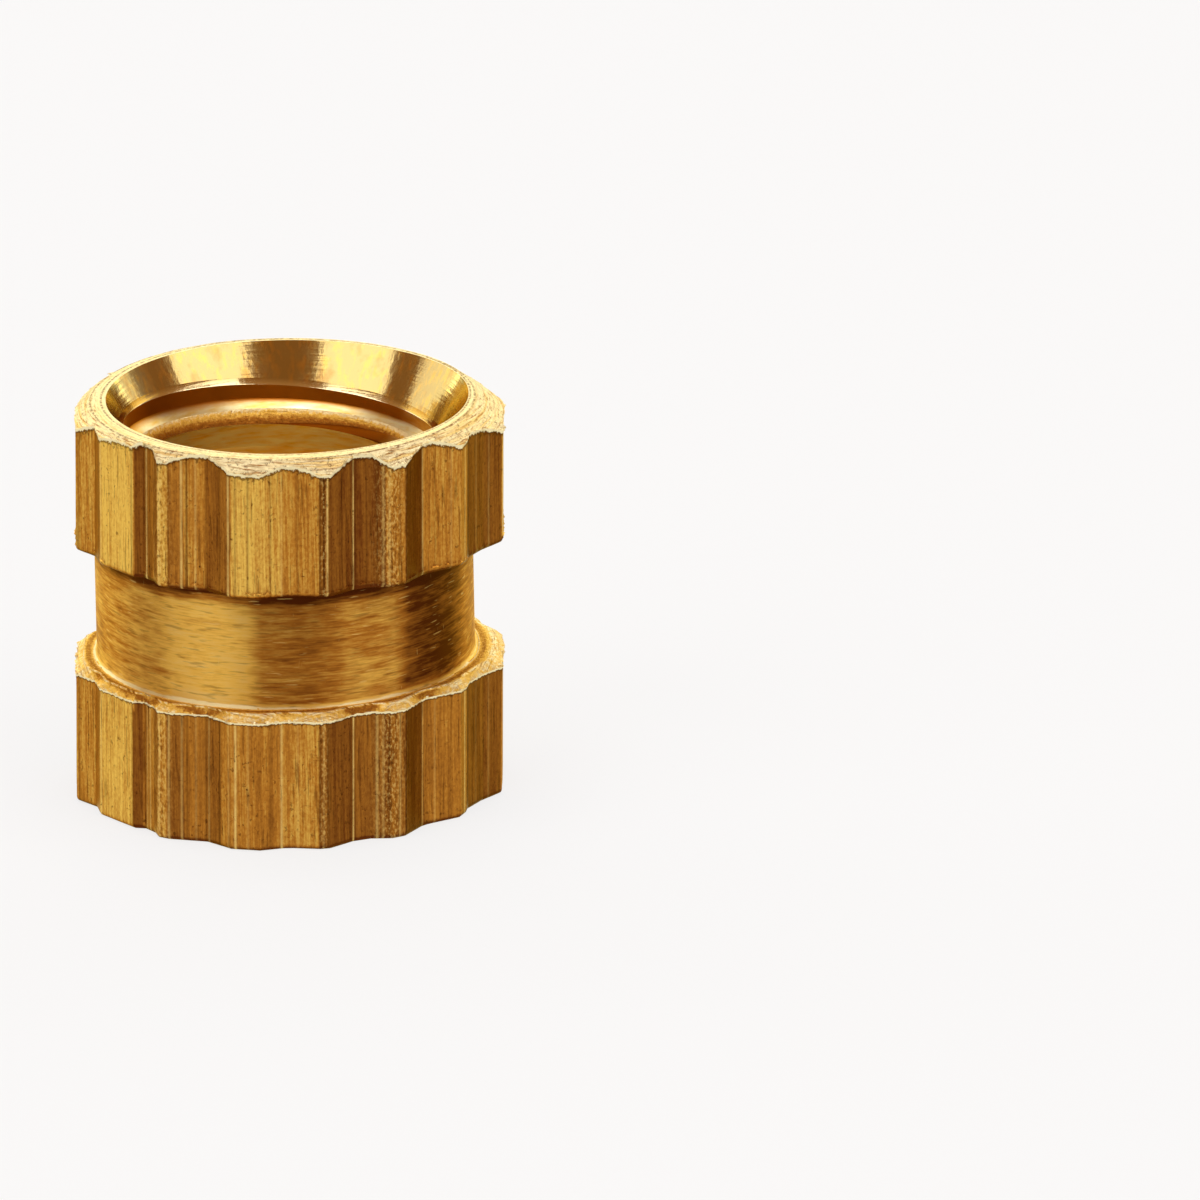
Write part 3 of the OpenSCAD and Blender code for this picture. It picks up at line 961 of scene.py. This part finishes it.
def add_floor(context, c):
    """The pale floor, as matt as paper. It shows its own colour to the lens and in the metal, and
    keeps a share of the shadow."""
    bpy.ops.object.select_all(action="DESELECT")
    bpy.ops.mesh.primitive_plane_add(size=0.8, location=(0, 0, 0))
    floor = context.active_object
    floor.name = "floor"
    material = bpy.data.materials.new("matt_paper")
    material.use_nodes = True
    tree = material.node_tree
    shader = tree.nodes["Principled BSDF"]
    shader.inputs["Base Color"].default_value = c.floor
    shader.inputs["Roughness"].default_value = 0.9
    shader.inputs["Specular IOR Level"].default_value = 0.0
    seen = add(tree, "ShaderNodeLightPath", out="Is Camera Ray")
    mirrored = add(tree, "ShaderNodeLightPath", out="Is Glossy Ray")
    through = add(tree, "ShaderNodeLightPath", out="Is Transmission Ray")
    either = add(tree, "ShaderNodeMath", {0: seen, 1: mirrored}, operation="MAXIMUM")
    any_of = add(tree, "ShaderNodeMath", {0: either, 1: through}, operation="MAXIMUM")
    share = add(tree, "ShaderNodeMath", {0: any_of, 1: 0.85}, operation="MULTIPLY")
    plain = add(tree, "ShaderNodeEmission", {0: c.floor, 1: 1.0})
    floor_look = add(tree, "ShaderNodeMixShader", {0: share, 1: shader.outputs[0], 2: plain})
    tree.links.new(floor_look, tree.nodes["Material Output"].inputs["Surface"])
    floor.data.materials.append(material)


# ---- Operators and panel ---------------------------------------------------------------


class INSERT_OT_make_insert(bpy.types.Operator):
    """Turns, knurls, countersinks and taps the insert, and gives it its brass finishes"""

    bl_idname = "insert.make_insert"
    bl_label = "Make Insert"

    def execute(self, context):
        obj = shape_insert(context.scene.insert_sizes)
        finish_insert(obj, context.scene.insert_sizes, context.scene.insert_colours)
        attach(obj, "root")
        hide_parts(NODE)
        return {"FINISHED"}


class INSERT_OT_make_studio(bpy.types.Operator):
    """Sets the pale floor, the soft lamps, the world and the camera"""

    bl_idname = "insert.make_studio"
    bl_label = "Make Studio"

    def execute(self, context):
        add_floor(context, context.scene.insert_colours)
        add_world(context, context.scene.insert_colours)
        for row in LAMPS:
            lamp(context, *row)
        add_camera(context)
        context.scene.view_settings.view_transform = "Standard"
        return {"FINISHED"}


class INSERT_PT_panel(bpy.types.Panel):
    """Sidebar panel with the sizes, the colours and the two steps"""

    bl_label = "Knurled Brass Insert"
    bl_idname = "INSERT_PT_panel"
    bl_space_type = "VIEW_3D"
    bl_region_type = "UI"
    bl_category = "Insert"

    def draw(self, context):
        layout = self.layout
        for group in (context.scene.insert_sizes, context.scene.insert_colours):
            for name in group.__annotations__:
                layout.prop(group, name)
        for operator in (INSERT_OT_make_insert, INSERT_OT_make_studio):
            layout.operator(operator.bl_idname)


CLASSES = (
    InsertSizes,
    InsertColours,
    INSERT_OT_make_insert,
    INSERT_OT_make_studio,
    INSERT_PT_panel,
)


def register():
    for cls in CLASSES:
        bpy.utils.register_class(cls)
    bpy.types.Scene.insert_sizes = bpy.props.PointerProperty(type=InsertSizes)
    bpy.types.Scene.insert_colours = bpy.props.PointerProperty(type=InsertColours)


def unregister():
    del bpy.types.Scene.insert_colours
    del bpy.types.Scene.insert_sizes
    for cls in reversed(CLASSES):
        bpy.utils.unregister_class(cls)


def main():
    register()
    bpy.ops.insert.make_insert()
    bpy.ops.insert.make_studio()


if __name__ == "__main__":
    main()
